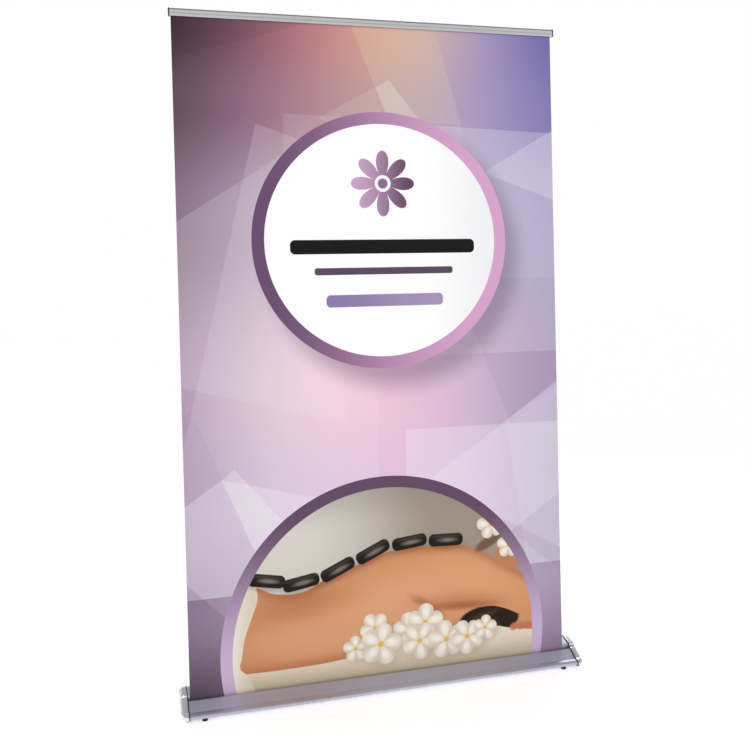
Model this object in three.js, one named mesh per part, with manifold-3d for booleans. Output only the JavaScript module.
// Roll-up banner stand, 1.2 m wide: an aluminium cassette with a sprung roller, a printed film that
// pulls up out of its slot, a clamping top rail, and a telescopic pole that holds the rail up.
// Millimetres. +X runs along the cassette to the right as seen from the front, the front faces -Y,
// +Z is up, and the origin is on the floor under the middle of the whole stand.
import * as THREE from 'three';
import { mergeVertices } from 'three/addons/utils/BufferGeometryUtils.js';
import Module from 'manifold-3d';

const wasm = await Module();
wasm.setup();

// ---- Driving dimensions -------------------------------------------------------------------------

// The printed film
const filmWidth = 1219.2;
const filmThick = 0.4;
const filmShift = -8;            // the film runs nearer the left end cap
const railUnderside = 2072.5;    // height of the rail's lower edge when it is hooked up

// Cassette section, in the Y-Z plane
const filmSideRoom = 13.9;       // cassette beyond the film, each side, shared out by filmShift
const cassetteWall = 2;
const cassetteBottom = 7.5;      // the feet lift it this far
const humpY = 40;
const humpZ = 40;
const humpRadius = 30;
const beadZ = 57.5;              // the rounded edge at the foot of the ramp
const beadRadius = 3.2;
const lipBelow = 9;              // the film turns this far below the slope's top edge
const lipRadius = 2.2;           // round the thickened end of the slot's rear wall
const rearFlare = 6;             // the rear corner stands this far behind the hump
const rearCorner = 6;
const slotWidth = 11.3;          // from the film's back to the front edge of the slot
const slopeTopZ = 46;
const slopeNose = 1;
const creaseY = -50.5;
const creaseZ = 26;
const noseY = -69.5;
const noseZ = 16.5;
const noseRadius = 5;
const noseDrop = 1;              // the rounded edge's middle lies this far below noseZ
const noseTurn = Math.PI * 1.4;  // how far round the edge is traced
const creaseRound = 2;           // how far below the crease the front face's curve aims
const ribCount = 5;
const ribHeight = 0.7;
const ribWidth = 1.6;

// Screws that hold the end plates in the cassette's screw ports
const portRadius = 3.8;
const portStand = 0.6;           // a port's middle stands this share of its radius off the wall
const frontPortBack = 11.4;      // from the slot's front wall to the front port
const rearPortIn = 3.04;         // from the rear wall, beyond the port's own inset
const portScrewRadius = 1.6;
const portDepth = 16;
const screwTipRoom = 2;          // between a screw's tip and the bottom of its bore
const screwHeadRadius = 3.4;
const screwHeadHeight = 2.2;
const screwSlotFloor = 0.4;      // as a share of the head's height
const screwSlotHalf = 0.7;       // as a share of the head's radius
const screwSlotWidth = 1;

// End plates and end caps
const plateThick = 3;
const capSleeve = 6;             // how far the cap reaches over the cassette's end
const capWall = 1.9;
const capEdge = 0.4;             // the rim's bevel, as a share of the cap's wall
const capBand = 7;               // straight rim before the dome starts
const capDome = 18;
const capCrown = 1.5;
const capShrink = 0.34;          // how much smaller the dome's face is than its rim
const capInnerShrink = 0.37;     // the same for the cap's inside
const domeForward = 10;          // the dome's middle lies this far in front of the hump's
const domeDrop = 6;              // and this far below it
const domeSteps = 5;
const beadCover = Math.PI * 1.15; // where the covering outline leaves the bead for the slope

// Feet
const padRadius = 9;
const padInset = 50;             // from the cassette's end
const padFrontIn = 16;           // from the front edge
const padRearIn = 18;            // from the rear edge
const padTaper = 0.88;
const capFootRadius = 4.2;
const capFootTip = 0.35;         // the dome starts at this share of the radius
const capFootDome = 0.8;         // and ends at this share of the height

// Roller
const rollerBack = 6;            // the roller hangs behind the hump's middle
const rollerDrop = 4;            // and below it
const rollRoom = 10.8;           // round the last turns, for the film as it winds on
const rollerWall = 1.5;
const rollerEndRoom = 14;        // between the roller tube and the end plate
const wrapThick = 0.9;           // the turns of leader that stay on the tube
const spindleRadius = 4;
const spindleLength = 330;
const plugDepth = 22;
const plugFlange = 3;
const springWire = 1.8;
const springInwards = 0.65;      // the coil lies nearer the spindle than half-way to the tube
const springTurns = 16;
const collarLength = 9;
const collarRoom = 2;            // between the drive plug and the collar
const anchorRoom = 6;            // spindle beyond the anchor

// Pole
const poleY = 40;
const poleRadius = 11;           // the lowest tube; the next two fit inside one another
const tubeWall = 1.2;
const tubeOverlap = 70;
const socketWall = 3.2;
const socketDepth = 34;
const socketFlange = 16;         // flange beyond the cup, each side
const socketFlangeThick = 6;
const socketSlack = 2.6;         // room behind the foot, so that the pole can tip back
const socketLap = 8;             // how far down the hump the socket's base reaches
const flangeLap = 6;             // and its flange
const footInset = 0.4;           // the foot's step in from the tube, as a share of its wall
const socketScrewRadius = 2;
const socketScrewReach = 6;      // how far the two screws go below the hump's top
const clampHeight = 34;
const clampWall = 3.2;
const clampEar = 7;
const clampSplit = 4.8;
const clampRise = 1 / 3;         // share of the collar that stands above its tube
const pinDrop = 1 / 4;           // the lever's pin, as a share of the collar down from its top
const earDrop = 2;               // the ears start this far below the collar's top
const leverLength = 40;
const leverCheek = 2.2;
const leverBoss = 0.6;           // how far the lever's eye stands round the ears
const handleThick = 1.8;
const handleStand = 0.2;         // between the eye and the handle's plate
const cheekShort = 0.4;          // the cheeks stop this far short of the handle's back
const leverPinRadius = 1.6;
const bushLength = 24;
const hookHeight = 26;
const hookShoulder = 14;
const hookArmRise = 4;           // from the tube's end to the underside of the arm
const hookHalfWidth = 5;
const hookRim = 1;               // the shoulder overhangs the tube by this much

// Top rail
const railOverhang = 8.1;        // rail beyond the film, each side
const railShift = 1.3;           // the film's middle to the rail's middle
const railHeight = 24.5;
const railWall = 1.8;
const railBackThick = 3.6;
const jawLip = 3.96;             // height of the jaw's gripping lip
const jawShoulder = 1;           // how far below the pivot the jaw's face turns down
const railFrontY = -8.5;
const railFlangeY = 15;          // rear edge of the flange that the pole carries
const railCapThick = 3;
const pivotRadius = 2;
const pivotFrom = Math.PI * 1.28;   // the jaw's bead is round from here
const pivotTo = Math.PI * 2.96;     // to here
const socketFrom = Math.PI * 0.66;  // the socket that holds it is open from here
const socketTo = -Math.PI * 0.42;   // to here

// Clearances
const gap = 0.3;                 // between pieces that touch
const runGap = 0.5;              // between pieces that move past each other

// ---- Worked out from the sizes above ------------------------------------------------------------

const cassetteSpan = filmWidth + 2 * filmSideRoom;
const railLength = filmWidth + 2 * railOverhang;
const rearY = humpY + humpRadius + rearFlare;
const beadY = filmThick / 2 + gap + beadRadius;
const lipY = filmThick / 2 + gap + lipRadius;
const lipZ = slopeTopZ - lipBelow;
const slotFrontY = -filmThick / 2 - slotWidth;
const cassetteLength = cassetteSpan + 2 * capSleeve;
const cassetteEnd = cassetteLength / 2;
const cassetteTop = humpZ + humpRadius;
const sleeveGap = ribHeight + gap;
const tubeEnd = cassetteEnd - rollerEndRoom;
const rollerY = humpY + rollerBack;
const rollerZ = humpZ - rollerDrop;
const rollerRadius = humpRadius - cassetteWall - rollRoom - wrapThick - gap;
const tubeBore = rollerRadius - rollerWall;
const springRadius = (spindleRadius + tubeBore) / 2 - springInwards;
const tubeRadii = [0, 1, 2].map((stage) => poleRadius - stage * (tubeWall + gap));

// The sections are drawn from the film's plane, and the origin is under the middle of the cassette.
const group = new THREE.Group();
group.name = 'roll_up_banner_stand';
group.position.y = -(noseY + rearY) / 2;

// ---- Materials ----------------------------------------------------------------------------------

const finish = (color, roughness, metalness) =>
  new THREE.MeshStandardMaterial({ color, roughness, metalness });
const anodised = () => finish(0xb9bac2, 0.38, 0.9);
const chrome = () => finish(0xdfe2e8, 0.12, 1);
const steel = () => finish(0x9b9da1, 0.35, 0.95);
const blackPlastic = () => finish(0x1d1e20, 0.5, 0);
const rubber = () => finish(0x17181a, 0.85, 0);
const film = () => finish(0xb39aae, 0.45, 0);

function place(name, geometry, material, parent = group) {
  const mesh = new THREE.Mesh(geometry, material);
  mesh.name = name;
  parent.add(mesh);
  return mesh;
}

// ---- Solids -------------------------------------------------------------------------------------

function toSolid(geometry) {
  const bare = geometry.clone();
  bare.deleteAttribute('normal');
  bare.deleteAttribute('uv');
  const merged = mergeVertices(bare, 1e-4);
  const vertProperties = new Float32Array(merged.attributes.position.array);
  const triVerts = new Uint32Array(merged.index.array);
  return new wasm.Manifold(new wasm.Mesh({ numProp: 3, vertProperties, triVerts }));
}

function toGeometry(solid) {
  const { vertProperties, triVerts } = solid.getMesh();
  const geometry = new THREE.BufferGeometry();
  geometry.setAttribute('position', new THREE.BufferAttribute(new Float32Array(vertProperties), 3));
  geometry.setIndex(new THREE.BufferAttribute(new Uint32Array(triVerts), 1));
  geometry.computeVertexNormals();
  return geometry;
}

function joined(...geometries) {
  return toGeometry(geometries.map(toSolid).reduce((all, next) => all.add(next)));
}

function cut(body, ...tools) {
  return toGeometry(tools.map(toSolid).reduce((left, tool) => left.subtract(tool), toSolid(body)));
}

// A box between two corners.
function block(low, high) {
  const size = high.map((value, i) => value - low[i]);
  const middle = high.map((value, i) => (value + low[i]) / 2);
  return new THREE.BoxGeometry(...size).translate(...middle);
}

// A round bar along Z, from z0 to z1 at (x, y).
function barZ(radius, z0, z1, x = 0, y = 0, sides = 28) {
  const bar = new THREE.CylinderGeometry(radius, radius, z1 - z0, sides);
  return bar.rotateX(Math.PI / 2).translate(x, y, (z0 + z1) / 2);
}

// A round bar along X, from x0 to x1 at (y, z).
function barX(radius, x0, x1, y, z, sides = 28) {
  const bar = new THREE.CylinderGeometry(radius, radius, x1 - x0, sides);
  return bar.rotateZ(Math.PI / 2).translate((x0 + x1) / 2, y, z);
}

// A pipe along Z or X, with a bore right through.
function pipeZ(outer, inner, z0, z1, x = 0, y = 0) {
  return cut(barZ(outer, z0, z1, x, y), barZ(inner, z0 - 1, z1 + 1, x, y));
}

function pipeX(outer, inner, x0, x1, y, z) {
  return cut(barX(outer, x0, x1, y, z), barX(inner, x0 - 1, x1 + 1, y, z));
}

// A Y-Z outline carried along X.
function alongX(outline, x0, x1, holes = []) {
  const shape = new THREE.Shape(outline);
  holes.forEach((hole) => shape.holes.push(new THREE.Path(hole)));
  const bar = new THREE.ExtrudeGeometry(shape, { depth: x1 - x0, bevelEnabled: false });
  const turn = new THREE.Matrix4().makeBasis(
    new THREE.Vector3(0, 1, 0),
    new THREE.Vector3(0, 0, 1),
    new THREE.Vector3(1, 0, 0),
  );
  return bar.applyMatrix4(turn).translate(x0, 0, 0);
}

// ---- Outlines -----------------------------------------------------------------------------------

// A counter-clockwise outline moved outwards by a distance, with mitred corners.
function grown(outline, distance) {
  const count = outline.length;
  return outline.map((point, i) => {
    const before = outline[(i + count - 1) % count];
    const after = outline[(i + 1) % count];
    const a = point.clone().sub(before).normalize();
    const b = after.clone().sub(point).normalize();
    const normal = new THREE.Vector2(a.y + b.y, -a.x - b.x);
    const share = distance / (1 + a.dot(b));
    return point.clone().addScaledVector(normal, share);
  });
}

// Outline points with doubled ones left out.
function pointsOf(path, divisions) {
  const points = path.getPoints(divisions);
  return points.filter((point, i) => {
    const before = points[(i + points.length - 1) % points.length];
    return point.distanceTo(before) > 1e-3;
  });
}

// The direction of the normal shared by two circles on their outer tangent, on the right-hand side
// of the way from the first to the second.
function tangentNormal(y1, z1, r1, y2, z2, r2) {
  const way = Math.atan2(z2 - z1, y2 - y1);
  const apart = Math.hypot(y2 - y1, z2 - z1);
  return way - Math.acos((r1 - r2) / apart);
}

const cornerY = rearY - rearCorner;
const cornerZ = cassetteBottom + rearCorner;
const rearNormal = tangentNormal(cornerY, cornerZ, rearCorner, humpY, humpZ, humpRadius);
const rampNormal = tangentNormal(humpY, humpZ, humpRadius, beadY, beadZ, beadRadius);
const noseEdgeY = slotFrontY - slopeNose;
const slopeNormal = Math.atan2(slopeTopZ - creaseZ, noseEdgeY - creaseY) + Math.PI / 2;

// Rear and top of the cassette: the bottom corner, the hump and the ramp down towards the bead.
function traceBack(path, inwards) {
  path.absarc(cornerY, cornerZ, rearCorner - inwards, -Math.PI / 2, rearNormal, false);
  path.absarc(humpY, humpZ, humpRadius - inwards, rearNormal, rampNormal, false);
}

// The slope down from the slot, the crease, and the rounded front edge.
function traceFront(path, ribbed) {
  path.absarc(noseEdgeY, slopeTopZ, slopeNose, ribbed ? 0 : slopeNormal / 2, slopeNormal, false);
  if (ribbed) traceRibs(path);
  path.lineTo(creaseY, creaseZ);
  path.quadraticCurveTo(noseY, creaseZ - creaseRound, noseY, noseZ);
  path.absarc(noseY + noseRadius, noseZ - noseDrop, noseRadius, Math.PI, noseTurn, false);
  path.lineTo(noseY + noseRadius * 2, cassetteBottom);
}

// Raised lengthwise ribs, spread evenly over the slope.
function traceRibs(path) {
  const out = new THREE.Vector2(Math.cos(slopeNormal), Math.sin(slopeNormal));
  const top = new THREE.Vector2(noseEdgeY, slopeTopZ).addScaledVector(out, slopeNose);
  const foot = new THREE.Vector2(creaseY, creaseZ);
  const way = foot.clone().sub(top);
  const half = ribWidth / 2 / way.length();
  for (let rib = 1; rib <= ribCount; rib += 1) {
    const middle = rib / (ribCount + 1);
    for (const [side, lift] of [[-1, 0], [-0.5, 1], [0.5, 1], [1, 0]]) {
      const point = top.clone().addScaledVector(way, middle + side * half);
      point.addScaledVector(out, lift * ribHeight);
      path.lineTo(point.x, point.y);
    }
  }
}

// The whole outer form with the slot closed over, as the end caps see it.
function coverOutline() {
  const path = new THREE.Path();
  path.moveTo(noseY + noseRadius * 2, cassetteBottom);
  traceBack(path, 0);
  path.absarc(beadY, beadZ, beadRadius, rampNormal, beadCover, false);
  traceFront(path, false);
  return pointsOf(path, 5);
}

const cover = coverOutline();

// The extruded section: outer form, slot with the lip that the film turns round, roller chamber.
function cassetteOutline() {
  const path = new THREE.Path();
  path.moveTo(noseY + noseRadius * 2, cassetteBottom);
  traceBack(path, 0);
  path.absarc(beadY, beadZ, beadRadius, rampNormal, Math.PI, false);
  const wallBack = beadY - beadRadius + cassetteWall;
  const lipJoint = Math.acos((wallBack - lipY) / lipRadius);
  path.absarc(lipY, lipZ, lipRadius, Math.PI, lipJoint + 2 * Math.PI, false);
  const rise = beadRadius - cassetteWall - (wallBack - beadY) * Math.cos(rampNormal);
  path.lineTo(wallBack, beadZ + rise / Math.sin(rampNormal));
  path.absarc(humpY, humpZ, humpRadius - cassetteWall, rampNormal, rearNormal, true);
  path.absarc(cornerY, cornerZ, rearCorner - cassetteWall, rearNormal, -Math.PI / 2, true);
  path.lineTo(slotFrontY, cassetteBottom + cassetteWall);
  traceFront(path, true);
  return pointsOf(path, 6);
}

// The hollow behind the slope: the front form drawn in by one wall.
function frontHollow() {
  const path = new THREE.Path();
  path.moveTo(noseY + noseRadius * 2, cassetteBottom);
  path.lineTo(slotFrontY, cassetteBottom);
  traceFront(path, false);
  const outline = pointsOf(path, 5);
  return grown(outline, -cassetteWall);
}

// ---- Cassette -----------------------------------------------------------------------------------

// Screw ports: one on the floor of the front hollow, one in the rear corner, one under the hump.
const portInset = cassetteWall + portRadius * portStand;
const humpPortAngle = Math.PI * 0.24;
const humpPortReach = humpRadius - portInset;
const ports = [
  [slotFrontY - frontPortBack, cassetteBottom + portInset],
  [rearY - portInset - rearPortIn, cassetteBottom + portInset],
  [humpY + humpPortReach * Math.cos(humpPortAngle), humpZ + humpPortReach * Math.sin(humpPortAngle)],
];

const socketTop = cassetteTop + socketFlangeThick + socketDepth;
const socketFloor = cassetteTop + socketFlangeThick;
const footRadius = tubeRadii[0] - tubeWall * footInset;
const boreRadius = footRadius + runGap;
const cupRadius = boreRadius + socketWall;
const socketScrewX = cupRadius + socketFlange / 2;

function cassette() {
  const body = alongX(cassetteOutline(), -cassetteEnd, cassetteEnd, [frontHollow()]);
  const tubes = ports.map(([y, z]) => barX(portRadius, -cassetteEnd, cassetteEnd, y, z, 16));
  const bores = [-1, 1].flatMap((side) =>
    ports.map(([y, z]) => {
      const ends = [side * (cassetteEnd - portDepth), side * (cassetteEnd + 1)].sort((a, b) => a - b);
      return barX(portScrewRadius + gap, ends[0], ends[1], y, z, 12);
    }),
  );
  const drillFloor = cassetteTop - socketScrewReach;
  const drillings = [-1, 1].map((side) =>
    barZ(socketScrewRadius + gap, drillFloor, cassetteTop + 1, side * socketScrewX, poleY, 12));
  return cut(joined(body, ...tubes), ...bores, ...drillings);
}

place('cassette_extrusion', cassette(), anodised());

// Each end: a steel plate screwed on, then a chromed cap pushed over plate and cassette.
const plateInner = cassetteEnd + gap;
const plateOuter = plateInner + plateThick;

function endPlate() {
  const plate = alongX(grown(cover, -gap), plateInner, plateOuter);
  const holes = ports.map(([y, z]) => barX(portScrewRadius + gap, plateInner - 1, plateOuter + 1, y, z, 12));
  const pinHole = barX(spindleRadius + gap, plateInner - 1, plateOuter + 1, rollerY, rollerZ, 20);
  return cut(plate, ...holes, pinHole);
}

// A pan-head screw along X, its head outside the plate.
function plateScrew([y, z]) {
  const shank = barX(portScrewRadius, cassetteEnd - portDepth + screwTipRoom, plateOuter + 1, y, z, 12);
  const headStart = plateOuter + gap;
  const head = barX(screwHeadRadius, headStart, headStart + screwHeadHeight, y, z, 16);
  const half = screwHeadRadius * screwSlotHalf;
  const recess = block(
    [headStart + screwHeadHeight * screwSlotFloor, y - half, z - screwSlotWidth / 2],
    [headStart + screwHeadHeight + 1, y + half, z + screwSlotWidth / 2],
  );
  return cut(joined(shank, head), recess);
}

// Rings of points joined into one closed skin, with a pole point at each end.
function skin(firstPole, rings, lastPole) {
  const positions = [...firstPole];
  rings.forEach((ring) => ring.forEach((point) => positions.push(...point)));
  positions.push(...lastPole);
  const sides = rings[0].length;
  const at = (ring, i) => 1 + ring * sides + (i % sides);
  const last = positions.length / 3 - 1;
  const index = [];
  for (let i = 0; i < sides; i += 1) {
    index.push(0, at(0, i + 1), at(0, i));
    index.push(last, at(rings.length - 1, i), at(rings.length - 1, i + 1));
    for (let ring = 0; ring + 1 < rings.length; ring += 1) {
      index.push(at(ring, i), at(ring + 1, i + 1), at(ring + 1, i));
      index.push(at(ring, i), at(ring, i + 1), at(ring + 1, i + 1));
    }
  }
  const geometry = new THREE.BufferGeometry();
  geometry.setAttribute('position', new THREE.BufferAttribute(new Float32Array(positions), 3));
  geometry.setIndex(index);
  geometry.computeVertexNormals();
  return geometry;
}

const domeY = humpY - domeForward;
const domeZ = humpZ - domeDrop;

// One level of the cap: the cassette's outline grown by a wall, then drawn towards the dome's middle.
function capRing(reach, wall, size) {
  return grown(cover, wall).map((point) => [
    cassetteEnd - capSleeve + reach,
    domeY + (point.x - domeY) * size,
    domeZ + (point.y - domeZ) * size,
  ]);
}

// The right-hand end cap: inside first, from the middle of the dome out to the rim, then outside.
function endCap() {
  const outerWall = sleeveGap + capWall;
  const innerReach = capSleeve + gap + plateThick + screwHeadHeight;
  const innerDome = capBand + capDome - capWall - innerReach;
  const x = cassetteEnd - capSleeve;
  const rings = [];
  for (let step = domeSteps; step >= 0; step -= 1) {
    const turn = (step / domeSteps) * Math.PI * 0.5;
    const size = 1 - capInnerShrink * (1 - Math.cos(turn));
    rings.push(capRing(innerReach + innerDome * Math.sin(turn), sleeveGap, size));
  }
  rings.push(capRing(0, sleeveGap, 1));
  rings.push(capRing(0, outerWall - capWall * capEdge, 1));
  rings.push(capRing(capWall * capEdge, outerWall, 1));
  for (let step = 0; step <= domeSteps; step += 1) {
    const turn = (step / domeSteps) * Math.PI * 0.5;
    const size = 1 - capShrink * (1 - Math.cos(turn));
    rings.push(capRing(capBand + capDome * Math.sin(turn), outerWall, size));
  }
  const innerPole = [x + innerReach + innerDome + capCrown / 2, domeY, domeZ];
  const outerPole = [x + capBand + capDome + capCrown, domeY, domeZ];
  return skin(innerPole, rings, outerPole);
}

// A piece drawn for the right-hand end, mirrored to the left one with its faces turned back.
function mirrored(geometry) {
  const copy = toGeometry(toSolid(geometry));
  copy.scale(-1, 1, 1);
  const index = copy.index.array;
  for (let i = 0; i < index.length; i += 3) {
    [index[i], index[i + 1]] = [index[i + 1], index[i]];
  }
  copy.computeVertexNormals();
  return copy;
}

const portNames = ['front', 'rear', 'top'];
for (const [side, turn] of [['right', (g) => g], ['left', mirrored]]) {
  place(`${side}_end_plate`, turn(endPlate()), steel());
  place(`${side}_end_cap`, turn(endCap()), chrome());
  ports.forEach((port, i) => {
    place(`${side}_plate_screw_${portNames[i]}`, turn(plateScrew(port)), steel());
  });
}

// ---- Feet ---------------------------------------------------------------------------------------

// A rubber pad stuck under the cassette, a little wider at the top.
function padFoot(x, y) {
  const height = cassetteBottom - gap;
  const pad = new THREE.CylinderGeometry(padRadius, padRadius * padTaper, height, 20);
  return pad.rotateX(Math.PI / 2).translate(x, y, height / 2);
}

// A small domed bumper under the tip of each end cap.
function capFoot(x) {
  const top = cassetteBottom - sleeveGap - capWall - gap;
  const profile = [new THREE.Vector2(0, 0)];
  for (let step = 0; step <= 4; step += 1) {
    const turn = (step / 4) * Math.PI * 0.5;
    const radius = capFootRadius * (capFootTip + (1 - capFootTip) * Math.sin(turn));
    profile.push(new THREE.Vector2(radius, top * capFootDome * (1 - Math.cos(turn))));
  }
  profile.push(new THREE.Vector2(capFootRadius, top), new THREE.Vector2(0, top));
  const bumper = new THREE.LatheGeometry(profile, 16).rotateX(Math.PI / 2);
  return bumper.translate(x, noseY + noseRadius * 2 + capFootRadius / 2, 0);
}

for (const [side, sign] of [['left', -1], ['right', 1]]) {
  const x = sign * (cassetteEnd - padInset);
  place(`foot_pad_front_${side}`, padFoot(x, noseY + padFrontIn), rubber());
  place(`foot_pad_rear_${side}`, padFoot(x, rearY - padRearIn), rubber());
  place(`cap_bumper_${side}`, capFoot(sign * (cassetteEnd - capSleeve + capBand)), chrome());
}

// ---- Roller -------------------------------------------------------------------------------------

// A plug with a flange, pressed into the tube's right-hand end and bored for its pin.
function rollerPlug() {
  const spigot = barX(tubeBore - gap, tubeEnd - plugDepth, tubeEnd + 1, rollerY, rollerZ);
  const flange = barX(rollerRadius, tubeEnd + gap, tubeEnd + gap + plugFlange, rollerY, rollerZ);
  const bore = barX(spindleRadius + gap, tubeEnd - plugDepth - 1, tubeEnd + plugFlange + 2, rollerY, rollerZ);
  return cut(joined(spigot, flange), bore);
}

place('roller_tube', pipeX(rollerRadius, tubeBore, -tubeEnd, tubeEnd, rollerY, rollerZ), anodised());
place('idler_plug', rollerPlug(), blackPlastic());
place('drive_plug', mirrored(rollerPlug()), blackPlastic());

// The turns of film that are left on the roller when the banner is up.
const wrapInner = rollerRadius + gap;
const wrapOuter = wrapInner + wrapThick;
const filmLeft = filmShift - filmWidth / 2;
const filmRight = filmShift + filmWidth / 2;
place('film_wraps', pipeX(wrapOuter, wrapInner, filmLeft, filmRight, rollerY, rollerZ), film());

// Fixed spindle on the left plate, with the spring wound round it.
const spindleOuter = -(plateOuter + screwHeadHeight);
const spindleInner = spindleOuter + spindleLength;
place('spring_spindle', barX(spindleRadius, spindleOuter, spindleInner, rollerY, rollerZ, 20), steel());

const idlerOuter = plateOuter + screwHeadHeight;
const idlerInner = tubeEnd - plugDepth;
place('idler_pin', barX(spindleRadius, idlerInner, idlerOuter, rollerY, rollerZ, 20), steel());

// The anchor turns with the tube and holds the spring's free end; the collar is fixed to the spindle.
const collarStart = -tubeEnd + plugDepth + collarRoom;
const collarEnd = collarStart + collarLength;
const anchorEnd = spindleInner - anchorRoom;
const anchorStart = anchorEnd - plugDepth;
place(
  'spring_collar',
  pipeX(springRadius + springWire, spindleRadius + gap, collarStart, collarEnd, rollerY, rollerZ),
  steel(),
);
place(
  'spring_anchor',
  pipeX(tubeBore - gap, spindleRadius + runGap, anchorStart, anchorEnd, rollerY, rollerZ),
  blackPlastic(),
);

class SpringPath extends THREE.Curve {
  getPoint(t, target = new THREE.Vector3()) {
    const turn = t * springTurns * 2 * Math.PI;
    const room = springWire / 2 + gap;
    const x = THREE.MathUtils.lerp(collarEnd + room, anchorStart - room, t);
    return target.set(x, rollerY + springRadius * Math.cos(turn), rollerZ + springRadius * Math.sin(turn));
  }
}

// A wire carried along a curve as rings of six points, closed at both ends.
function wire(path, radius, steps, sides = 6) {
  const section = new THREE.Shape();
  section.absarc(0, 0, radius, 0, 2 * Math.PI, false);
  const options = { steps, extrudePath: path, curveSegments: sides / 2, bevelEnabled: false };
  return new THREE.ExtrudeGeometry(section, options);
}

place('torsion_spring', wire(new SpringPath(), springWire / 2, springTurns * 8), steel());

// The film inside the cassette: round the lip, then back to the top of the roller.
function filmRun() {
  const turnRadius = lipY;
  const wrapReach = wrapOuter + gap + filmThick / 2;
  const apart = Math.hypot(rollerY - lipY, rollerZ - lipZ);
  const way = Math.atan2(rollerZ - lipZ, rollerY - lipY);
  const leave = way - Math.acos((turnRadius + wrapReach) / apart);
  const side = (offset) => {
    const path = new THREE.Path();
    path.absarc(lipY, lipZ, turnRadius + offset, -Math.PI, leave, false);
    path.lineTo(
      rollerY - (wrapReach - offset) * Math.cos(leave),
      rollerZ - (wrapReach - offset) * Math.sin(leave),
    );
    return pointsOf(path, 5);
  };
  const outline = [...side(filmThick / 2), ...side(-filmThick / 2).reverse()];
  return alongX(outline, filmLeft, filmRight);
}

place('film_run', filmRun(), film());

// ---- Top rail -----------------------------------------------------------------------------------

const railX = filmShift + railShift;
const railEnd = railLength / 2 - railCapThick - gap;
const pivotY = -filmThick / 2;
const socketRadius = pivotRadius + gap;
const socketOuter = socketRadius + railWall;
const pivotZ = railUnderside + railHeight - socketOuter;
const jawFaceY = -filmThick / 2 - gap;
const backFaceY = filmThick / 2 + gap;
const flangeTop = railUnderside + railHeight;
const flangeUnder = flangeTop - railWall;

// Rear half: a flat back, a C-shaped hinge socket along the top, and the flange for the pole.
function railBack() {
  const path = new THREE.Path();
  path.moveTo(backFaceY, railUnderside);
  path.lineTo(backFaceY + railBackThick, railUnderside);
  path.lineTo(backFaceY + railBackThick, flangeUnder);
  path.lineTo(railFlangeY, flangeUnder);
  path.lineTo(railFlangeY, flangeTop);
  path.absarc(pivotY, pivotZ, socketOuter, Math.PI / 2, socketFrom, false);
  path.absarc(pivotY, pivotZ, socketRadius, socketFrom, socketTo, true);
  path.lineTo(backFaceY, pivotZ - socketOuter);
  return alongX(pointsOf(path, 5), railX - railEnd, railX + railEnd);
}

// Front jaw: a hinge bead, an arm, a bowed face, and a lower lip that grips the film.
function railJaw() {
  const face = railFrontY;
  const lipTop = railUnderside + jawLip;
  const path = new THREE.Path();
  path.absarc(pivotY, pivotZ, pivotRadius, pivotFrom, pivotTo, false);
  path.lineTo(face + railWall, pivotZ + pivotRadius * 0.4);
  path.quadraticCurveTo(face, pivotZ - jawShoulder, face, pivotZ - pivotRadius * 2);
  path.lineTo(face, railUnderside + railWall);
  path.quadraticCurveTo(face, railUnderside, face + railWall, railUnderside);
  path.lineTo(jawFaceY, railUnderside);
  path.lineTo(jawFaceY, lipTop);
  path.lineTo(jawFaceY - railWall, lipTop);
  path.lineTo(face + railWall, railUnderside + railWall);
  path.lineTo(face + railWall, pivotZ - pivotRadius * 1.6);
  return alongX(pointsOf(path, 5).reverse(), railX - railEnd + runGap, railX + railEnd - runGap);
}

// End caps of the rail: flat plates with rounded corners that cover both halves.
function railCap(side) {
  const path = new THREE.Path();
  const round = railWall;
  const front = railFrontY - gap;
  const rear = backFaceY + railBackThick + round;
  path.absarc(front + round, railUnderside + round, round, Math.PI, Math.PI * 1.5, false);
  path.absarc(rear - round, railUnderside + round, round, -Math.PI / 2, 0, false);
  path.lineTo(rear, flangeUnder - round);
  path.lineTo(railFlangeY, flangeUnder - round / 2);
  path.lineTo(railFlangeY, flangeTop + gap);
  path.absarc(front + 3 * round, flangeTop + gap - 3 * round, 3 * round, Math.PI / 2, Math.PI, false);
  const start = side * (railLength / 2 - railCapThick);
  const ends = [railX + start, railX + side * (railLength / 2)].sort((a, b) => a - b);
  return alongX(pointsOf(path, 4), ends[0], ends[1]);
}

place('rail_back', railBack(), anodised());
place('rail_jaw', railJaw(), anodised());
place('rail_cap_left', railCap(-1), blackPlastic());
place('rail_cap_right', railCap(1), blackPlastic());

// The printed film, from the lip up into the rail's jaws.
const filmFoot = lipZ + gap;
const filmHead = pivotZ - socketOuter - gap;
place(
  'banner_graphic',
  block([filmLeft, -filmThick / 2, filmFoot], [filmRight, filmThick / 2, filmHead]),
  film(),
);

// ---- Pole ---------------------------------------------------------------------------------------

// The cup on top of the hump: its base follows the cassette, and its bore is longer towards the rear.
function poleSocket() {
  const cupFoot = cassetteTop - socketLap;
  const cup = joined(
    barZ(cupRadius, cupFoot, socketTop, 0, poleY, 32),
    barZ(cupRadius, cupFoot, socketTop, 0, poleY + socketSlack, 32),
  );
  const half = socketScrewX + socketFlange / 2;
  const flangeFoot = cassetteTop - flangeLap;
  const flange = block([-half, poleY - cupRadius, flangeFoot], [half, poleY + cupRadius, socketFloor]);
  const bore = joined(
    barZ(boreRadius, socketFloor, socketTop + 1, 0, poleY, 28),
    barZ(boreRadius, socketFloor, socketTop + 1, 0, poleY + socketSlack, 28),
    block([-boreRadius, poleY, socketFloor], [boreRadius, poleY + socketSlack, socketTop + 1]),
  );
  const saddle = alongX(grown(cover, gap), -half - 1, half + 1);
  const holes = [-1, 1].map((side) =>
    barZ(socketScrewRadius + gap, cupFoot, socketFloor + 1, side * socketScrewX, poleY, 12));
  return cut(joined(cup, flange), saddle, bore, ...holes);
}

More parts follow.
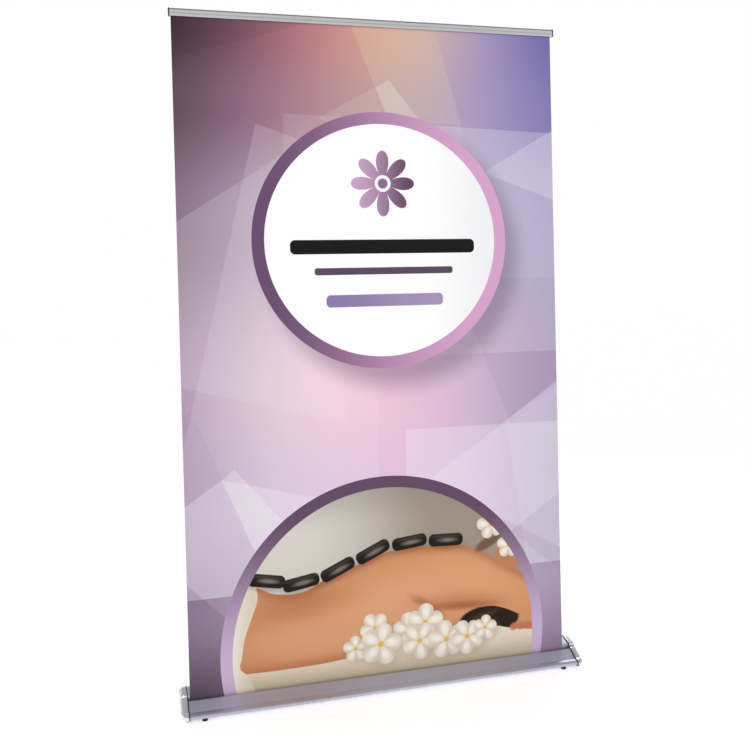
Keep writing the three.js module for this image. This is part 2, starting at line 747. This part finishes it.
function socketScrew(side) {
  const x = side * socketScrewX;
  const tip = cassetteTop - socketScrewReach;
  const shank = barZ(socketScrewRadius, tip, socketFloor + 1, x, poleY, 12);
  const start = socketFloor + gap;
  const head = barZ(screwHeadRadius, start, start + screwHeadHeight, x, poleY, 16);
  const half = screwHeadRadius * screwSlotHalf;
  const recess = block(
    [x - half, poleY - screwSlotWidth / 2, start + screwHeadHeight * screwSlotFloor],
    [x + half, poleY + screwSlotWidth / 2, start + screwHeadHeight + 1],
  );
  return cut(joined(shank, head), recess);
}

place('pole_socket', poleSocket(), blackPlastic());
place('socket_screw_left', socketScrew(-1), steel());
place('socket_screw_right', socketScrew(1), steel());

// Three tubes share the height between the socket and the rail's flange.
const tubeStart = socketTop + 2 * runGap;
const tubeFinish = flangeUnder - gap - hookHeight;
const tubeLength = (tubeFinish - tubeStart + 2 * tubeOverlap) / 3;
const tubeBottoms = [0, 1, 2].map((stage) => tubeStart + stage * (tubeLength - tubeOverlap));
const tubeTops = tubeBottoms.map((bottom) => bottom + tubeLength);

function tube(stage) {
  const radius = tubeRadii[stage];
  return pipeZ(radius, radius - tubeWall, tubeBottoms[stage], tubeTops[stage], 0, poleY);
}

// The foot stands in the socket and is pressed up into the lower tube.
function poleFoot() {
  const spigotRadius = tubeRadii[0] - tubeWall - gap;
  const foot = barZ(footRadius, socketFloor + 2 * runGap, tubeStart - gap, 0, poleY, 28);
  const spigot = barZ(spigotRadius, tubeStart - gap - 1, tubeStart + bushLength, 0, poleY, 28);
  return joined(foot, spigot);
}

// A bush under a sliding tube: a spigot inside it, and a skirt that runs in the tube below.
function tubeBush(stage) {
  const skirtRadius = tubeRadii[stage - 1] - tubeWall - gap;
  const spigotRadius = tubeRadii[stage] - tubeWall - gap;
  const end = tubeBottoms[stage];
  const skirt = barZ(skirtRadius, end - bushLength / 2, end - gap, 0, poleY, 28);
  const spigot = barZ(spigotRadius, end - gap - 1, end + bushLength / 2, 0, poleY, 28);
  return joined(skirt, spigot);
}

// The clamp at the top of a tube: a split collar that the next tube slides through, with two ears.
const pinY = (radius) => poleY + radius + clampWall + clampEar / 2;
const collarTop = (stage) => tubeTops[stage] + clampHeight * clampRise;
const leverPinZ = (stage) => collarTop(stage) - clampHeight * pinDrop;

function clampCollar(stage) {
  const radius = tubeRadii[stage];
  const top = collarTop(stage);
  const bottom = top - clampHeight;
  const outer = radius + gap + clampWall;
  const earInner = poleY + radius + gap + 1;
  const earOuter = pinY(radius) + clampEar / 2;
  const ears = block([-clampEar, earInner, top - clampHeight / 2], [clampEar, earOuter, top - earDrop]);
  const body = joined(barZ(outer, bottom, top, 0, poleY, 32), ears);
  const seat = barZ(radius + gap, bottom - 1, tubeTops[stage] + gap, 0, poleY);
  const throat = barZ(tubeRadii[stage + 1] + gap, bottom - 1, top + 1, 0, poleY);
  const half = clampSplit / 2;
  const split = block([-half, poleY + radius - 1, top - clampHeight / 2 - 1], [half, earOuter + 1, top + 1]);
  const pinHole = barX(leverPinRadius + gap, -clampEar - 1, clampEar + 1, pinY(radius), leverPinZ(stage), 16);
  return cut(body, seat, throat, split, pinHole);
}

// The lever hangs down behind the collar when it is shut. Its cheeks straddle the two ears.
function clampLever(stage) {
  const y = pinY(tubeRadii[stage]);
  const z = leverPinZ(stage);
  const inside = clampEar + gap;
  const outside = inside + leverCheek;
  const boss = clampEar / 2 + leverBoss;
  const back = y + boss + handleStand;
  const cheekBack = back + handleThick - cheekShort;
  const cheeks = [-1, 1].map((side) => {
    const ends = [side * inside, side * outside].sort((a, b) => a - b);
    const eye = barX(boss, ends[0], ends[1], y, z, 20);
    const arm = block([ends[0], y - 1, z - leverLength], [ends[1], cheekBack, z]);
    return joined(eye, arm);
  });
  const handle = block(
    [-outside, back, z - leverLength],
    [outside, back + handleThick, z - clampEar],
  );
  const pinHole = barX(leverPinRadius + gap, -outside - 1, outside + 1, y, z, 16);
  return cut(joined(...cheeks, handle), pinHole);
}

function leverPin(stage) {
  const end = clampEar + gap + leverCheek + gap;
  return barX(leverPinRadius, -end, end, pinY(tubeRadii[stage]), leverPinZ(stage), 16);
}

// The head on the upper tube: a plug, a shoulder, and an arm that reaches under the rail's flange.
function poleHook() {
  const radius = tubeRadii[2];
  const plug = barZ(radius - tubeWall - gap, tubeFinish - bushLength, tubeFinish + 1, 0, poleY);
  const top = tubeFinish + hookShoulder;
  const armFoot = tubeFinish + hookArmRise;
  const half = hookHalfWidth;
  const shoulder = barZ(radius + hookRim, tubeFinish + gap, top, 0, poleY);
  const armFront = backFaceY + railWall * 2 + 2 * runGap;
  const arm = block([-half, armFront, armFoot], [half, poleY, top]);
  const tongueRear = railFlangeY - 2 * runGap;
  const tongue = block([-half, armFront, armFoot], [half, tongueRear, flangeUnder - gap]);
  return joined(plug, shoulder, arm, tongue);
}

const stageNames = ['lower', 'middle', 'upper'];
stageNames.forEach((name, stage) => {
  place(`pole_${name}_tube`, tube(stage), anodised());
  if (stage > 0) place(`pole_${name}_bush`, tubeBush(stage), blackPlastic());
  if (stage < 2) {
    place(`${name}_clamp_collar`, clampCollar(stage), blackPlastic());
    place(`${name}_clamp_lever`, clampLever(stage), blackPlastic());
    place(`${name}_clamp_pin`, leverPin(stage), steel());
  }
});
place('pole_foot', poleFoot(), blackPlastic());
place('pole_hook', poleHook(), blackPlastic());

export default group;
